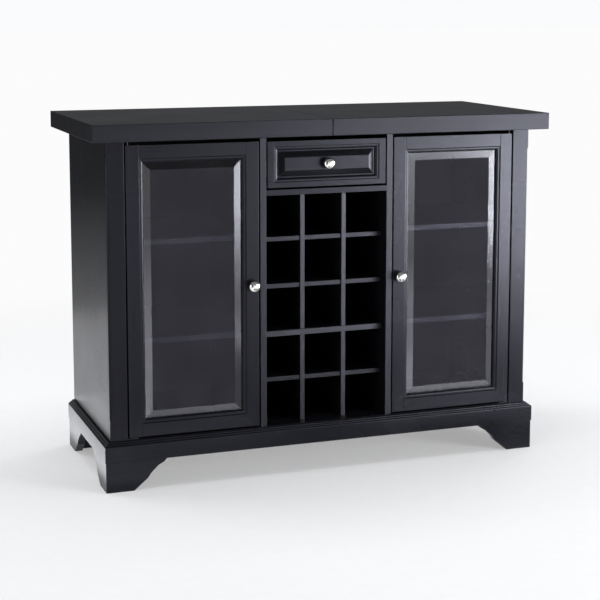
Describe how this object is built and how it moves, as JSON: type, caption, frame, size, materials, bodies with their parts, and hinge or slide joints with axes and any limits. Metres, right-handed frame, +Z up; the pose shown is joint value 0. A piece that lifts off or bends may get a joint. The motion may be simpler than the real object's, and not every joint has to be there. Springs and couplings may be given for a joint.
{
  "type": "bar cabinet",
  "caption": "Black lacquered bar cabinet with bevelled glass doors, a drawer over a bottle rack, bracket feet and a top whose leaves slide apart to the sides.",
  "frame": {"origin": "on the floor, under the middle of the top", "axes": "X across the width to the right as seen from the front, Y from the front to the back, Z up"},
  "size_m": [1.225, 0.524, 0.914],
  "materials": {
    "lacquer_upright": "satin black lacquer over closed upright grain",
    "lacquer_across": "satin black lacquer over closed grain that runs across",
    "top_lacquer": "satin black lacquer, rubbed smooth",
    "rack_lacquer": "satin black lacquer on the rack and shelves",
    "inner_wood": "black stained, matt",
    "pane_glass": "clear polished glass with a bevelled edge",
    "satin_nickel": "turned and polished nickel",
    "zinc_steel": "bright zinc plate",
    "catch_plastic": "moulded black plastic"
  },
  "bodies": {
    "carcass": {"back_panel": "inner_wood", "base_back_rail": "inner_wood", "base_front_rail": "lacquer_across", "base_left_rail": "lacquer_across", "base_right_rail": "lacquer_across", "bottom_panel": "rack_lacquer", "corner_stile_left": "lacquer_upright", "corner_stile_right": "lacquer_upright", "drawer_rail": "lacquer_across", "drawer_runner_fixed": "zinc_steel", "foot_front_left": "lacquer_upright", "foot_front_right": "lacquer_upright", "foot_rear_left": "lacquer_upright", "foot_rear_right": "lacquer_upright", "magnet_catches": "catch_plastic", "partition_left": "rack_lacquer", "partition_right": "rack_lacquer", "pivot_plates": "zinc_steel", "rack_mid_shelf": "rack_lacquer", "rack_slats": "rack_lacquer", "rack_uprights": "rack_lacquer", "shelf_left_lower": "rack_lacquer", "shelf_left_upper": "rack_lacquer", "shelf_pins": "zinc_steel", "shelf_right_lower": "rack_lacquer", "shelf_right_upper": "rack_lacquer", "side_panel_left": "lacquer_upright", "side_panel_right": "lacquer_upright", "sub_top": "inner_wood", "top_runners_fixed": "zinc_steel"},
    "door_left": {"door_left_beads": "lacquer_upright", "door_left_fittings": "zinc_steel", "door_left_glass": "pane_glass", "door_left_hinge_stile": "lacquer_upright", "door_left_knob": "satin_nickel", "door_left_knob_stile": "lacquer_upright", "door_left_rails": "lacquer_across"},
    "door_right": {"door_right_beads": "lacquer_upright", "door_right_fittings": "zinc_steel", "door_right_glass": "pane_glass", "door_right_hinge_stile": "lacquer_upright", "door_right_knob": "satin_nickel", "door_right_knob_stile": "lacquer_upright", "door_right_rails": "lacquer_across"},
    "drawer": {"drawer_bottom": "inner_wood", "drawer_box_ends": "inner_wood", "drawer_box_sides": "inner_wood", "drawer_front_frame": "lacquer_upright", "drawer_front_panel": "lacquer_upright", "drawer_knob": "satin_nickel", "drawer_runner_inner": "zinc_steel"},
    "drawer_runner_middle": {"drawer_runner_middle": "zinc_steel"},
    "leaf_left": {"leaf_left_aprons": "top_lacquer", "leaf_left_board": "top_lacquer", "leaf_left_runners": "zinc_steel"},
    "leaf_right": {"leaf_right_aprons": "top_lacquer", "leaf_right_board": "top_lacquer", "leaf_right_runners": "zinc_steel"},
    "top_runner_left_middle": {"top_runner_left_middle": "zinc_steel"},
    "top_runner_right_middle": {"top_runner_right_middle": "zinc_steel"}
  },
  "joints": [
    {"name": "door_left_hinge", "type": "hinge", "parent": "carcass", "child": "door_left", "pos_m": [-0.51775, -0.218, 0.49525], "axis": [0, 0, -1], "range_deg": [0, 105]},
    {"name": "door_right_hinge", "type": "hinge", "parent": "carcass", "child": "door_right", "pos_m": [0.51775, -0.218, 0.49525], "axis": [0, 0, 1], "range_deg": [0, 105]},
    {"name": "drawer_slide", "type": "slide", "parent": "carcass", "child": "drawer", "axis": [0, -1, 0], "range_m": [0, 0.3]},
    {"name": "drawer_runner_slide", "type": "slide", "parent": "carcass", "child": "drawer_runner_middle", "axis": [0, -1, 0], "range_m": [0, 0.15]},
    {"name": "leaf_left_slide", "type": "slide", "parent": "carcass", "child": "leaf_left", "axis": [-1, 0, 0], "range_m": [0, 0.3]},
    {"name": "top_runner_left_slide", "type": "slide", "parent": "carcass", "child": "top_runner_left_middle", "axis": [-1, 0, 0], "range_m": [0, 0.15]},
    {"name": "leaf_right_slide", "type": "slide", "parent": "carcass", "child": "leaf_right", "axis": [1, 0, 0], "range_m": [0, 0.3]},
    {"name": "top_runner_right_slide", "type": "slide", "parent": "carcass", "child": "top_runner_right_middle", "axis": [1, 0, 0], "range_m": [0, 0.15]}
  ],
  "couplings": [
    {"joint": "drawer_runner_slide", "follows": "drawer_slide", "ratio": 0.5},
    {"joint": "top_runner_left_slide", "follows": "leaf_left_slide", "ratio": 0.5},
    {"joint": "top_runner_right_slide", "follows": "leaf_right_slide", "ratio": 0.5}
  ]
}
